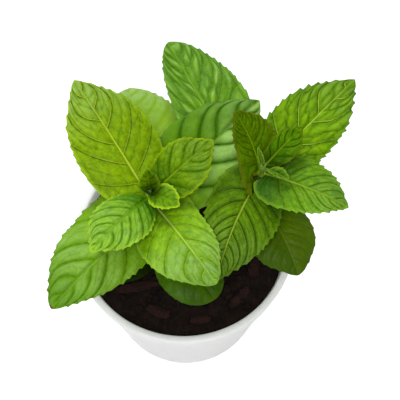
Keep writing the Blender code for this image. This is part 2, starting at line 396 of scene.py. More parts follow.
class LeafSkin(SharedGroup):
    """A leaf's veins, rungs, net and margin, with painted shade and a painted sheen.

    It reads what the blade's mesh stores: phase counts the side veins and fork the forks between
    them, spacing, rung, out and edge are millimetres from vein to vein, to the nearest rung, to the
    midrib and to the margin, along, reach and side are shares of the length and the half width,
    puff is 1 on a swelling and 0 in a crease, and under is 1 below.
    """

    name = "leaf_skin"

    def veins(self, wander: Any) -> tuple:
        """Masks of the veins.

        Args:
            wander: A small stray of the lines, in millimetres.

        Returns:
            Masks of the vein creases, where shade is painted, of the pale lines beside them, and of the
            midrib.
        """
        bench = self.bench
        phase, spacing, reach = bench.stored("phase"), bench.stored("spacing"), bench.stored("reach")
        middle = bench.math("ABSOLUTE", bench.stored("out"))
        saw = bench.math("FRACT", bench.plus(phase, 0.5))
        signed = bench.times(bench.minus(saw, 0.5), spacing)
        half_wander = bench.times(wander, 0.5)
        side = bench.fade(bench.math("ABSOLUTE", bench.plus(signed, half_wander)), 0.08, 0.38)
        fork = bench.times(bench.math("PINGPONG", bench.stored("fork"), 0.5), spacing)
        fork = bench.fade(bench.plus(fork, wander), 0.06, 0.34)
        fork = bench.times(fork, bench.ramp(reach, 0.46, 0.62, 0.0, 0.45))
        rung = bench.fade(bench.plus(bench.stored("rung"), half_wander), 0.02, 0.34)
        rung = bench.times(rung, self.given["Rungs"])
        lines = bench.times(bench.most(side, fork, rung), bench.ramp(middle, 0.35, 0.9),
                            bench.ramp(bench.stored("edge"), 0.2, 1.2),
                            bench.ramp(bench.noise(520.0), 0.36, 0.6, 0.45, 1.0))
        beside = bench.math("ABSOLUTE", bench.minus(signed, 0.42))
        pale = bench.times(bench.fade(beside, 0.04, 0.24), bench.ramp(reach, 0.35, 0.9, 1.0, 0.3))
        half = bench.ramp(bench.stored("along"), 0.0, 1.0, 0.48, 0.10)
        return lines, pale, bench.fade(bench.math("DIVIDE", middle, half), 0.5, 1.1)

    def bloom(self, left: Any) -> Socket:
        """A painted sheen: a pale highlight painted on the swellings toward the tip.

        Args:
            left: 1 on the left half and 0 on the right one.

        Returns:
            Its mask.
        """
        bench, given = self.bench, self.given
        along, start = bench.stored("along"), given["Bloom Start"]
        bloom = bench.times(bench.ramp(along, start, bench.plus(start, 0.5)), given["Bloom"],
                            bench.ramp(bench.stored("puff"), 0.15, 0.85, 0.2, 1.05),
                            bench.ramp(bench.noise(230.0), 0.34, 0.64, 0.55, 1.1))
        # keeps the painted sheen off the left half
        clear = bench.times(left, given["Left Clear"], bench.ramp(along, 0.45, 0.95, 1.0, 0.2))
        return bench.times(bloom, bench.minus(1.0, clear))

    def build(self) -> None:
        """Lays the leaf's tones over each other and adds its roughness and height."""
        bench, given = self.bench, self.given
        along = bench.stored("along")
        blur = bench.noise(900.0)
        wander = bench.times(bench.minus(blur, 0.5), 0.4)
        lines, pale, midrib = self.veins(wander)
        left = bench.ramp(bench.stored("side"), -0.25, 0.25)
        broad = bench.ramp(bench.noise(150.0, 3.0), 0.38, 0.62)
        blotch = bench.ramp(bench.noise(420.0, 3.0, 0.6), 0.40, 0.66)
        fine = bench.noise(2600.0, 3.0, 0.6)
        net = bench.cells(760.0)
        # valley is 1 between the swellings; it lays painted shade there and roughens the surface
        valley = bench.fade(bench.stored("puff"), 0.0, 0.9)
        # darker base: partly the leaf's own tone, partly painted shade near the stem and under the leaves
        # above
        base = bench.times(bench.fade(along, 0.02, given["Base End"]), given["Base"])
        rim = bench.fade(bench.plus(bench.stored("edge"), bench.times(wander, 3.0)), 0.1, 2.0)
        # painted shade: darkens the tip and either half toward Deep, partly the leaf's own darker tone,
        # partly the shade of neighbouring leaves
        shade = bench.plus(bench.times(bench.ramp(along, 0.5, 1.0), given["Tip Shade"]),
                           bench.times(left, given["Left Shade"]),
                           bench.times(bench.minus(1.0, left), given["Right Shade"]))
        # painted shade in the vein creases: a deeper tone of Deep
        dark = bench.mix(1.0, given["Deep"], (0.55, 0.62, 0.5), "MULTIPLY")
        speck = bench.ramp(bench.cells(300.0, "F1"), 0.04, 0.07, 0.6, 0.0)
        color = given["Blade"]
        for share, over in (
                (bench.times(broad, 0.35), given["Deep"]),
                (bench.times(blotch, given["Patches"]), given["Glow"]),
                (base, given["Deep"]),
                (bench.times(valley, given["Valleys"]), given["Deep"]),
                (bench.times(bench.fade(net, 0.02, 0.14), bench.blend(base, -0.12, 0.15)), given["Glow"]),
                # painted sheen: a pale blue-green highlight colour laid on the swellings
                (self.bloom(left), display(166, 205, 124)),
                (bench.times(rim, given["Rim Share"]), given["Rim"]),
                (bench.math("MINIMUM", shade, 1.0), given["Deep"]),
                (bench.times(lines, given["Creases"]), dark),
                (bench.times(pale, given["Pale Veins"]), given["Vein"]),
                (bench.times(midrib, given["Midrib"]), given["Vein"]),
                (bench.times(speck, bench.ramp(bench.noise(90.0), 0.56, 0.62)), display(45, 55, 5)),
                (bench.times(bench.ramp(along, 0.975, 0.992), given["Brown Tip"]), display(95, 60, 35)),
                (bench.times(bench.stored("under"), 0.45), display(134, 172, 88)),
                (bench.times(bench.ramp(fine, 0.45, 0.62), given["Down"]), display(150, 180, 96))):
            color = bench.mix(share, color, over)
        rough = bench.blend(given["Down"], 0.3, bench.blend(valley, 0.12, bench.blend(blur, 0.12, 0.24)))
        height = bench.times(bench.ramp(net, 0.0, 0.35), 0.09)
        for part, rise in ((lines, -0.22), (midrib, 0.10), (fine, 0.08), (blotch, 0.08)):
            height = bench.blend(part, rise, height)
        self.close(color, rough, height)


class Grain(SharedGroup):
    """Two sizes of mottle, for soil, bark, stems and the pot."""

    name = "grain"

    def build(self) -> None:
        """Mixes the two colours by both sizes of noise."""
        bench, given = self.bench, self.given
        broad = bench.noise(220.0, 4.0, 0.6)
        fine = bench.noise(1500.0, 4.0, 0.65)
        mottle = bench.ramp(bench.plus(bench.times(broad, 0.6), bench.times(fine, 0.4)), 0.38, 0.62)
        color = bench.mix(bench.times(mottle, given["Share"]), given["Light"], given["Dark"])
        rough = bench.blend(bench.minus(fine, 0.5), given["Rough Change"], given["Rough"])
        height = bench.blend(fine, given["Fine Height"], bench.times(broad, given["Broad Height"]))
        self.close(color, rough, height)


def start_material(name: str) -> tuple[bpy.types.Material, Bench, bpy.types.Node]:
    """A new material with an empty tree but for its Principled shader and output.

    Args:
        name: The material's name.

    Returns:
        The material, its bench and its Principled node.
    """
    material = bpy.data.materials.new(name)
    material.use_nodes = True
    return material, Bench(material.node_tree), material.node_tree.nodes["Principled BSDF"]


@dataclass(frozen=True)
class Finish:
    """A finish whose fields feed the inputs of a shared group. Colours are display values."""

    def sockets(self) -> dict[str, Any]:
        """Values for the group's inputs.

        Returns:
            Numbers and linear colours by input, without the fields that the shader itself takes.
        """
        values = {item.name: getattr(self, item.name) for item in fields(self)}
        return {name.replace("_", " ").title(): display(*value) if isinstance(value, tuple) else value
                for name, value in values.items() if name not in ("name", "gloss", "bump", "milky")}

    def dress(self, name: str, kind: type[SharedGroup], gloss: float, bump: float) -> bpy.types.Material:
        """Makes a material around a shared group.

        Args:
            name: The material's name.
            kind: Which group it uses.
            gloss: Its specular level.
            bump: The bump's strength, from 0 to 1. Heights are in millimetres.

        Returns:
            The material.
        """
        material, bench, shader = start_material(name)
        values = self.sockets()
        out = bench.node("ShaderNodeGroup", values, node_tree=kind.shared(values)).outputs
        relief = bench.node("ShaderNodeBump", {"Strength": bump, "Distance": MILLIMETRE,
                                               "Height": out["Height"]})
        bench.feed(shader, {"Base Color": out["Color"], "Roughness": out["Roughness"],
                            "Normal": relief.outputs["Normal"], "Specular IOR Level": gloss})
        return material


@dataclass(frozen=True)
class LeafFinish(Finish):
    """How one kind of leaf looks.

    Blade, Deep, Vein, Rim and Glow are its main, shaded, vein, margin and patch colours; Deep also
    serves as painted shade. The other values are shares from 0 to 1: how strong the painted shade in
    the vein creases and between the swellings is, how strong the midrib, pale veins, rungs, patches,
    margin, painted sheen, brown tip and down are, how far the dark base reaches (partly the leaf's own
    tone, partly painted shade near the stem), where the painted sheen starts, and how much painted
    shade darkens the tip and each half. left_clear keeps the painted sheen off the left half, gloss is
    the shine and bump the relief.
    """

    blade: tuple
    deep: tuple
    vein: tuple
    rim: tuple
    glow: tuple
    creases: float = 0.5
    valleys: float = 0.4
    midrib: float = 0.7
    pale_veins: float = 0.2
    rungs: float = 0.5
    patches: float = 0.3
    rim_share: float = 0.5
    bloom: float = 0.0
    bloom_start: float = 0.3
    brown_tip: float = 0.0
    down: float = 0.0
    base: float = 0.3
    base_end: float = 0.42
    tip_shade: float = 0.0
    left_shade: float = 0.0
    right_shade: float = 0.0
    left_clear: float = 0.0
    gloss: float = 0.5
    bump: float = 0.85

    def build(self, name: str) -> bpy.types.Material:
        """Makes the material."""
        return self.dress(name, LeafSkin, self.gloss * LEAF_GLOSS, self.bump)


class Tone(Enum):
    """The finishes of the leaves, from the sunlit top to the shaded bottom; the darker tones of the low and
    inner leaves are partly painted shade.
    """

    LIME = LeafFinish(
        (122, 156, 0), (66, 106, 0), (188, 200, 70), (158, 196, 30), (152, 188, 0),
        creases=0.85, valleys=0.32, pale_veins=0.5, patches=0.45, bloom=0.4, bloom_start=0.5, base=0.0,
        right_shade=0.12, gloss=0.25)
    OLIVE = LeafFinish(
        (104, 142, 0), (40, 88, 0), (136, 162, 24), (142, 172, 6), (142, 178, 0),
        valleys=0.45, pale_veins=0.05, patches=0.4, rim_share=0.75, bloom=0.1, base=0.75, base_end=0.6,
        right_shade=0.12, gloss=0.22)
    FRESH = LeafFinish(
        (129, 180, 6), (50, 106, 0), (84, 128, 2), (158, 202, 46), (152, 198, 12),
        valleys=0.45, midrib=0.6, pale_veins=0.0, rim_share=0.75, bloom=0.24, bloom_start=0.1, base=0.95,
        base_end=0.55, gloss=0.4)
    PALE = LeafFinish(
        (120, 166, 4), (50, 100, 0), (180, 200, 92), (146, 190, 56), (150, 194, 26),
        valleys=0.14, pale_veins=0.35, patches=0.4, bloom=0.5, bloom_start=0.35, base=0.95, base_end=0.3,
        tip_shade=0.4, gloss=0.4)
    MEADOW = LeafFinish(
        (118, 166, 0), (76, 128, 0), (142, 176, 30), (108, 154, 12), (140, 182, 0),
        creases=0.55, midrib=0.5, pale_veins=0.1, bloom=0.32, bloom_start=0.15, brown_tip=0.9, base=0.0,
        tip_shade=0.75, gloss=0.35)
    SUNNY = LeafFinish(
        (124, 169, 2), (48, 92, 0), (182, 202, 70), (74, 128, 10), (138, 180, 0),
        creases=0.8, valleys=0.55, pale_veins=0.65, rungs=0.8, patches=0.4, bloom=0.22, bloom_start=0.45,
        base=0.0, tip_shade=0.24, left_shade=0.12, gloss=0.22)
    QUILTED = LeafFinish(
        (129, 178, 6), (50, 106, 0), (140, 172, 36), (108, 162, 44), (132, 180, 6),
        creases=0.6, valleys=0.7, pale_veins=0.1, rungs=0.8, bloom=0.4, bloom_start=0.25, base=0.5,
        tip_shade=0.25, gloss=0.4)
    # painted sheen on the outer swellings and painted shade on the left half, under the leaf above
    GLAUCOUS = LeafFinish(
        (115, 160, 0), (40, 92, 0), (124, 158, 50), (130, 172, 64), (102, 148, 4),
        creases=0.2, valleys=0.74, midrib=0.4, pale_veins=0.0, rungs=0.1, patches=0.25, bloom=0.48,
        bloom_start=0.12, base=0.0, base_end=0.6, left_shade=0.45, left_clear=0.95, gloss=0.24)
    MISTY = LeafFinish(
        (130, 170, 24), (106, 150, 6), (150, 180, 74), (140, 176, 64), (134, 172, 10),
        creases=0.05, valleys=0.1, midrib=0.3, pale_veins=0.0, rungs=0.0, rim_share=0.2, bloom=0.45,
        bloom_start=0.4, base=0.0, gloss=0.3, bump=0.1)
    MOSS = LeafFinish(
        (76, 110, 0), (36, 68, 0), (116, 144, 10), (92, 100, 12), (98, 132, 0),
        creases=0.55, valleys=0.3, pale_veins=0.5, rungs=0.9, rim_share=0.7, gloss=0.06)
    CREASED = LeafFinish(
        (98, 148, 0), (34, 78, 0), (146, 164, 44), (124, 170, 34), (134, 180, 8),
        creases=0.45, pale_veins=0.25, patches=0.5, bloom=0.16, bloom_start=0.35, base=1.0, base_end=0.57,
        tip_shade=0.1, left_shade=0.15, gloss=0.4)
    RIBBED = LeafFinish(
        (91, 131, 2), (30, 68, 0), (156, 170, 60), (112, 150, 26), (120, 158, 0),
        creases=0.45, valleys=0.7, pale_veins=0.4, patches=0.4, bloom=0.12, base=0.5, tip_shade=0.2,
        left_shade=0.15, gloss=0.2)
    # painted shade: the young leaves' dark bases stand for the shade inside the cup of the growing tip
    YOUNG = LeafFinish(
        (104, 154, 4), (16, 60, 0), (134, 172, 14), (166, 206, 20), (140, 186, 2),
        creases=0.3, valleys=0.15, midrib=0.15, pale_veins=0.0, rim_share=0.8, base=0.9, base_end=0.6,
        left_shade=0.12, gloss=0.4)
    HEART = LeafFinish(
        (122, 166, 4), (12, 40, 0), (104, 144, 6), (128, 168, 14), (96, 138, 0),
        creases=0.3, valleys=0.3, midrib=0.2, pale_veins=0.0, rim_share=0.75, base=0.85, base_end=0.75,
        right_shade=0.5, gloss=0.2)
    # painted shade: the inner bud leaves are painted near black for the shade in the heart of the growing tip
    CORE = LeafFinish(
        (20, 46, 0), (5, 18, 0), (48, 82, 4), (44, 84, 4), (44, 80, 0),
        valleys=0.6, gloss=0.02)
    BRONZED = LeafFinish(
        (71, 117, 0), (24, 60, 0), (112, 134, 14), (100, 116, 12), (116, 162, 0),
        valleys=0.6, rim_share=0.4, base=1.0, base_end=0.6, gloss=0.1)
    DOWNY = LeafFinish(
        (60, 104, 0), (28, 70, 0), (108, 150, 24), (112, 150, 30), (84, 130, 8),
        rim_share=0.8, down=0.22, gloss=0.05)
    # partly painted shade: the low leaves' darker tones stand for the shade of the leaves above them
    SHADE = LeafFinish(
        (78, 108, 0), (54, 84, 0), (112, 130, 10), (66, 98, 2), (94, 118, 0),
        creases=0.25, valleys=0.2, pale_veins=0.25, rim_share=0.2, tip_shade=0.5, right_shade=0.48,
        gloss=0.3, bump=0.5)
    DIM = LeafFinish(
        (70, 110, 0), (26, 48, 0), (86, 120, 10), (50, 88, 2), (70, 112, 0),
        creases=0.05, valleys=0.1, pale_veins=0.0, rim_share=0.2, tip_shade=0.3, gloss=0.3, bump=0.3)
    DUSK = LeafFinish(
        (24, 38, 0), (14, 26, 0), (60, 84, 6), (22, 36, 2), (38, 64, 0),
        creases=0.05, valleys=0.1, pale_veins=0.0, rim_share=0.2, gloss=0.1, bump=0.3)

    def material(self) -> bpy.types.Material:
        """The tone's material, made when it is first asked for."""
        name = f"leaf_{self.name.lower()}"
        return bpy.data.materials.get(name) or self.value.build(name)


@dataclass(frozen=True)
class PlainFinish(Finish):
    """A finish made of two mottled colours, with heights in millimetres."""

    name: str
    light: tuple
    dark: tuple
    share: float
    rough: float
    rough_change: float
    broad_height: float
    fine_height: float
    gloss: float = 0.5
    bump: float = 1.0
    milky: float = 0.0

    def build(self) -> bpy.types.Material:
        """Makes the material, or finds the one made before.

        Returns:
            The material.
        """
        found = bpy.data.materials.get(self.name)
        if found:
            return found
        material = self.dress(self.name, Grain, self.gloss, self.bump)
        if self.milky > 0:
            shader = material.node_tree.nodes["Principled BSDF"]
            depth = {"Subsurface Radius": (1.0, 1.0, 1.0), "Subsurface Scale": MILKY_DEPTH}
            Bench(material.node_tree).feed(shader, {"Subsurface Weight": self.milky, **depth})
        return material


SOIL = PlainFinish("moist_soil", (33, 22, 16), (8, 6, 4), 0.9, 0.9, 0.2, 0.5, 0.4, gloss=0.12)
CRUMB = PlainFinish("soil_crumb", (38, 26, 20), (10, 7, 5), 0.9, 0.9, 0.2, 0.3, 0.3, gloss=0.12)
BARK = PlainFinish("chip_bark", (44, 23, 18), (15, 8, 6), 0.9, 0.85, 0.2, 0.3, 0.25, gloss=0.15)
STEM = PlainFinish("green_stem", (100, 138, 22), (78, 92, 18), 0.6, 0.55, 0.2, 0.05, 0.08)
POT = PlainFinish("white_pot_plastic", (240, 240, 238), (234, 234, 231), 0.6, 0.42, 0.12, 0.02, 0.02,
                  bump=0.5, milky=0.7)


# ---------------------------------------------------------------------------------------------
# Meshes


def add_piece(name: str, points: np.ndarray, faces: list, material: bpy.types.Material,
              replaced: tuple = (), stored: dict | None = None) -> bpy.types.Object:
    """Makes a smooth mesh piece that rides on the one body.

    Args:
        name: The piece's name.
        points: Its vertices, shape (n, 3).
        faces: Its faces, as lists of vertex numbers.
        material: Its material.
        replaced: The plain solids that it stands for.
        stored: Values at the points, by name.

    Returns:
        The piece.
    """
    mesh = bpy.data.meshes.new(name)
    mesh.from_pydata(points.tolist(), [], faces)
    mesh.validate()
    for label, values in (stored or {}).items():
        layer = mesh.attributes.new(label, "FLOAT", "POINT")
        layer.data.foreach_set("value", np.asarray(values, dtype=np.float32).ravel())
    mesh.shade_smooth()
    mesh.materials.append(material)
    piece = show(name, mesh)
    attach(piece, BODY)
    if replaced:
        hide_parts(*replaced)
    log.info("%s: %d points, %d faces", name, len(points), len(faces))
    return piece


def sheet_faces(rows: int, columns: int) -> list:
    """Faces of a closed sheet: a grid of top points, then the same grid below.

    Args:
        rows: Points along.
        columns: Points across.

    Returns:
        The faces, with outward normals.
    """
    count = rows * columns
    index = np.arange(count).reshape(rows, columns)
    first, right = index[:-1, :-1].ravel(), index[:-1, 1:].ravel()
    ahead, corner = index[1:, :-1].ravel(), index[1:, 1:].ravel()
    top = spot(first, ahead, corner, right)
    bottom = spot(first, right, corner, ahead) + count
    loop = np.concatenate([index[0, :], index[1:, -1], index[-1, -2::-1], index[-2:0:-1, 0]])
    after = np.roll(loop, -1)
    side = spot(loop, after, after + count, loop + count)
    return np.concatenate([top, bottom, side]).tolist()


def tube_faces(rings: int, sides: int) -> list:
    """Faces of a closed tube with flat ends.

    Args:
        rings: Its rings.
        sides: Points round each ring.

    Returns:
        The faces, with outward normals.
    """
    index = np.arange(rings * sides).reshape(rings, sides)
    after = np.roll(index, -1, axis=1)
    wall = spot(index[:-1], after[:-1], after[1:], index[1:]).reshape(-1, 4)
    return [*wall.tolist(), index[0, ::-1].tolist(), index[-1].tolist()]


# ---------------------------------------------------------------------------------------------
# Stems and leaves


@dataclass(frozen=True)
class Stem:
    """One stem: where its foot and its tip stand, and its height above the soil.

    nodes are the heights at which leaves leave it, and top is where it ends. It stands sunk in the
    soil, square and with a groove along each side, slim between its joints and swollen at them.
    """

    name: str
    foot: tuple
    tip: tuple
    height: float
    nodes: tuple
    top: float
    sunk: float = 0.0095
    square: float = 3.4
    groove: float = 0.10
    slim: float = 0.86
    swelling: float = 0.30
    joint: float = 0.0011
    rings: int = 90
    sides: int = 24

    def point(self, above: float) -> Vector:
        """A point on the stem's axis.

        Args:
            above: Height above the soil's level.

        Returns:
            The point.
        """
        share = above / self.height
        x, y = (foot + (tip - foot) * share for foot, tip in zip(self.foot, self.tip))
        return Vector((x, y, SOIL_LEVEL + above))

    def radius(self, above: float) -> float:
        """The stem's radius at a height, without the swelling at its joints."""
        return STEM_FOOT_RADIUS + (STEM_TIP_RADIUS - STEM_FOOT_RADIUS) * max(0.0, above / self.height)

    def build(self) -> bpy.types.Object:
        """Makes the square, grooved stem, swollen where each pair of leaves leaves it.

        Returns:
            The piece.
        """
        angle = np.arange(self.sides) / self.sides * math.tau + math.pi / 4
        section = np.abs(np.cos(angle)) ** self.square + np.abs(np.sin(angle)) ** self.square
        section = section ** (-1 / self.square)
        groove = self.groove * np.exp(-(np.sin(2 * (angle - math.pi / 4)) / 0.5) ** 2 / 2)
        section = section * (1 - groove * (np.abs(np.cos(2 * angle)) > 0.5))
        points = []
        for ring in range(self.rings):
            above = (self.top + self.sunk) * ring / (self.rings - 1) - self.sunk
            centre = self.point(max(0.0, above))
            near = sum(math.exp(-((above - node) / self.joint) ** 2) for node in self.nodes)
            shape = section * (self.radius(above) * (self.slim + self.swelling * near))
            points.append(spot(centre.x + shape * np.cos(angle), centre.y + shape * np.sin(angle),
                               SOIL_LEVEL + above))
        return add_piece(f"{self.name}_skin", np.concatenate(points), tube_faces(self.rings, self.sides),
                         STEM.build(), (self.name,))


@dataclass
class Grid:
    """Where the points of one blade lie, each an array of rows by columns.

    part is the share of the whole length and along that of the blade alone, row the share of the
    midrib at which the point's side vein starts, reach the share of the half width, and sign 1 on
    the left half and -1 on the right one, seen from the base.
    """

    part: np.ndarray
    along: np.ndarray
    row: np.ndarray
    reach: np.ndarray
    sign: np.ndarray


def swell(beat: np.ndarray) -> np.ndarray:
    """A round hump between whole numbers, with creases at them."""
    return 1 - np.abs(2 * np.mod(beat, 1) - 1) ** 2.5


@dataclass(frozen=True)
class Leaf:
    """One leaf, with the sizes of its plain solid and the detail of its blade.

    Lengths are in metres and angles in degrees. azimuth is its heading seen from above, and sweep
    how far that turns by the tip. pitch is its rise at the stem, and bend how far that changes by
    the tip. fold raises both halves from the midrib, and curl turns them down again. base_power and
    tip_power shape its outline, point narrows its tip, skew widens its left half, and lobes pull
    each half's margin back. veins is how many leave each side of the midrib, lead how far forward
    they run and straight how straight, puff how high the blade stands between them, rung_puff and
    forks how deep rungs and forks cut into that, rung_pitch the rungs' distance in millimetres, and
    wave, tooth and pitch_of_teeth the margin's swing and its teeth in millimetres.
    """

    name: str
    height: float
    azimuth: float
    pitch: float
    bend: float
    length: float
    width: float
    tone: Tone
    sweep: float = 0.0
    fold: float = 10.0
    curl: float = 30.0
    stalk: float = 0.002
    base_power: float = 0.55
    tip_power: float = 0.75
    skew: float = 0.0
    veins: float = 7.0
    lead: float = 2.8
    straight: float = 0.6
    puff: float = 0.8
    rung_puff: float = 0.35
    forks: float = 0.1
    rung_pitch: float = 3.2
    wave: float = 0.5
    tooth: float = 0.9
    pitch_of_teeth: float = 4.2
    lobes: tuple = (0.0, 0.0)
    point: float = 0.25
    slot: str = "fresh_leaf"

    @property
    def seed(self) -> int:
        """A number of the leaf's own, for its noise."""
        return sum(ord(letter) * (place + 3) for place, letter in enumerate(self.name))

    def half_width(self, along: np.ndarray) -> np.ndarray:
        """Half the blade's width.

        Args:
            along: Share of the blade's length, below 0 on the stalk.

        Returns:
            The half widths, before skew.
        """
        widest = self.base_power / (self.base_power + self.tip_power)
        full = widest**self.base_power * (1 - widest) ** self.tip_power
        inside = np.clip(along, 0, 1)
        shape = inside**self.base_power * (1 - inside) ** self.tip_power / full
        least = np.where(along < widest, STALK_HALF_WIDTH, TIP_HALF_WIDTH)
        shape = shape * (1 - self.point * ease(0.7, 1.0, inside))
        return np.maximum(least, self.width / 2 * shape)

    def across(self, reach: np.ndarray) -> tuple[np.ndarray, np.ndarray]:
        """How far a point lies out and up from the midrib, per unit of half width.

        Args:
            reach: Share of the half width, from 0 to 1.

        Returns:
            The shares out and up.
        """
        fold, curl = math.radians(self.fold), math.radians(self.curl)
        out = (math.sin(fold) - np.sin(fold - curl * reach)) / curl
        rise = (np.cos(fold - curl * reach) - math.cos(fold)) / curl
        return out, rise

    def ahead(self, part: np.ndarray) -> np.ndarray:
        """The midrib's unit directions at shares of the whole length."""
        turn, rise = np.radians(self.azimuth + self.sweep * part), np.radians(self.pitch + self.bend * part)
        return spot(np.cos(rise) * np.cos(turn), np.cos(rise) * np.sin(turn), np.sin(rise))

    def frames(self, stem: Stem, part: np.ndarray) -> tuple[np.ndarray, ...]:
        """The midrib's points and directions.

        Args:
            stem: The stem that carries the leaf.
            part: Shares of the whole length, shape (rows, columns).

        Returns:
            Points, and the directions ahead, left and up, each of shape (rows, columns, 3).
        """
        middle = (np.arange(MIDRIB_STEPS) + 0.5) / MIDRIB_STEPS
        track = np.cumsum(self.ahead(middle), axis=0) * self.length / MIDRIB_STEPS
        track = np.concatenate([np.zeros((1, 3)), track]) + np.array(stem.point(self.height))
        knots = np.linspace(0, 1, MIDRIB_STEPS + 1)
        place = spot(*(np.interp(part, knots, track[:, axis]) for axis in range(3)))
        ahead = self.ahead(part)
        turn = np.radians(self.azimuth + self.sweep * part)
        left = spot(-np.sin(turn), np.cos(turn), 0.0)
        return place, ahead, left, np.cross(ahead, left)

    def build(self, stem: Stem) -> bpy.types.Object:
        """Makes the toothed, veined and quilted blade with its stalk."""
        points, stored, faces = self.shape(stem)
        return add_piece(f"{self.name}_blade", points, faces, self.tone.material(), (self.name,),
                         stored)

    def grid(self, stem: Stem) -> Grid:
        """Lays the grid along the side veins, with points closest near the midrib and the margin.

        Args:
            stem: The stem that carries the leaf.

        Returns:
            The grid.
        """
        # Small leaves get fewer points.
        fine = min(1.0, 0.35 + self.length / 0.09)
        half_columns = int(HALF_COLUMNS * fine)
        share = np.arange(-half_columns, half_columns + 1) / half_columns
        side = (share - COLUMN_CROWDING * np.sin(math.tau * share))[None, :]
        reach = np.abs(side)
        knots = np.linspace(0, 1, 2001)
        dense = 0.5 * knots + 0.5 * (1 - (1 - knots) ** self.lead)
        row = np.interp(np.linspace(0, 1, int(BLADE_ROWS * fine)), dense, knots)[:, None]
        forward = 1 - (1 - row) ** self.lead
        along = row + (forward - row) * (self.straight * reach + (1 - self.straight) * reach**2)
        start = stem.radius(self.height) * STALK_START
        stalk_part = np.linspace(start, self.stalk, STALK_ROWS, endpoint=False)[:, None] / self.length
        blade_part = (self.stalk + along * (self.length - self.stalk)) / self.length
        ones = np.ones_like(reach)
        part = np.concatenate([stalk_part * ones, blade_part])
        along = np.concatenate([np.full((STALK_ROWS, 1), -0.001) * ones, along])
        row = np.concatenate([np.zeros((STALK_ROWS, 1)), row]) * ones
        full = np.ones_like(part)
        return Grid(part, along, row, reach * full, np.sign(side) * full)

    def margin(self, grid: Grid, noise: Noise) -> tuple[np.ndarray, ...]:
        """How teeth and lobes move the points near the margin.

        Args:
            grid: The blade's grid.
            noise: The leaf's noise.

        Returns:
            How far they move out, ahead, and back with the lobes.
        """
        along, sign = grid.along, grid.sign
        near = ease(MARGIN_START, 1.0, grid.reach)
        length = (self.length - self.stalk) / MILLIMETRE
        teeth = max(LEAST_TEETH, round(length * 1.1 / min(self.pitch_of_teeth, 1.6 + length * 0.05)))
        beat = teeth * along + TOOTH_STRAY * noise.at(spot(along * teeth * 0.6, sign * 3, 5))
        saw = np.mod(beat, 1)
        tooth = np.where(saw < TOOTH_RISE, (saw / TOOTH_RISE) ** TOOTH_POWER, (1 - saw) / (1 - TOOTH_RISE))
        vary = 1 + TOOTH_CHANGE * noise.corner(spot(np.floor(beat), sign, 2))
        size = self.tooth * MILLIMETRE * min(1.0, 0.35 + self.length / 0.08) * vary
        size = size * ease(0.02, 0.12, along) * (1 - ease(0.9, 1.0, along))
        lobe = np.where(sign > 0, *self.lobes) * grid.reach**1.4 * (1 - ease(0.0, 0.45, along))
        return near * (tooth - 0.3) * size, near * tooth * size * TOOTH_HOOK, lobe

    def sheet(self, stem: Stem, grid: Grid, noise: Noise) -> tuple[np.ndarray, ...]:
        """The blade's middle surface, before its swellings.

        Args:
            stem: The stem that carries the leaf.
            grid: The blade's grid.
            noise: The leaf's noise.

        Returns:
            Its points, its normals, and for each point the blade's half width and how far out it lies.
        """
        along, reach, sign = grid.along, grid.reach, grid.sign
        half = self.half_width(along)
        half = np.where(half > STALK_HALF_WIDTH, half * (1 + self.skew * sign), half)
        half = half * (1 + 0.03 * noise.at(spot(along * 3, sign, 0)) * ease(0, 0.2, along))
        out, rise = self.across(reach)
        place, ahead, left, up = self.frames(stem, grid.part)
        push, hook, lobe = self.margin(grid, noise)
        wave = self.wave * MILLIMETRE * noise.layered(spot(along * 5 + sign * 4, 0, 9), 2)
        wave = wave * reach**2.2 * ease(0.03, 0.2, along)
        wave = wave * (1 - 0.6 * ease(0.85, 1, along)) * min(1.0, self.length / 0.05) * 2.2
        points = place + left * ((half * out + push + LOBE_OUT * lobe) * sign)[..., None]
        points = points + up * (half * rise + wave + LOBE_UP * lobe)[..., None]
        points = points + ahead * (hook - lobe * (grid.row > 0))[..., None]

        normal = np.cross(np.gradient(points, axis=0), np.gradient(points, axis=1))
        size = np.linalg.norm(normal, axis=-1, keepdims=True)
        normal = np.where(size > 1e-14, normal / np.maximum(size, 1e-14), up)
        trust = (ease(0.0, 0.03, along) * (1 - ease(0.96, 0.995, along)))[..., None]
        normal = normal * trust + up * (1 - trust)
        normal /= np.linalg.norm(normal, axis=-1, keepdims=True)
        return points, normal, half, half * out

    def relief(self, grid: Grid, points: np.ndarray, out: np.ndarray, noise: Noise) -> dict[str, np.ndarray]:
        """Counts the side veins, their forks and the rungs between them.

        Args:
            grid: The blade's grid.
            points: The middle surface.
            out: Distance from the midrib in millimetres.
            noise: The leaf's noise.

        Returns:
            The phase, the spacing, the fork's phase, the distance from the nearest rung, and how far
            each point is puffed up, by name.
        """
        row, reach, sign = grid.row, grid.reach, grid.sign
        side = reach * sign
        phase = self.veins * row**VEIN_SPREAD + VEIN_SHIFT * np.clip(side / 0.02, -1, 1)
        phase = phase + VEIN_STRAY * noise.layered(spot(row * 6, side * 2.5, 1), 2) * ease(0, 0.15, reach)
        phase = phase + VEIN_START_STRAY * noise.at(spot(row * 5, sign * 7, 21)) * ease(0.0, 0.02, reach)
        across = np.gradient(points, axis=1)
        across /= np.maximum(np.linalg.norm(across, axis=-1, keepdims=True), 1e-12)
        step = np.linalg.norm(np.cross(np.gradient(points, axis=0), across), axis=-1)
        spacing = np.clip(step / MILLIMETRE / np.maximum(np.gradient(phase, axis=0), 1e-4), 0.3, 14)
        part_way = 0.5 * ease(0.36, 1.02, reach)
        fork = phase + part_way
        shift = noise.corner(spot(np.floor(phase * 2), sign, 3))
        bend = 0.35 * noise.at(spot(phase * 2.1, out * 0.3, 3))
        rung = out / self.rung_pitch + bend + 0.25 * shift + 200 + 40 * sign
        gap, pick = noise.cells(phase * 2 + 100, rung, CELL_LOOSENESS)
        puff = swell(phase) * (1 - self.forks * ease(0.06, 0.22, part_way) * (1 - swell(fork)))
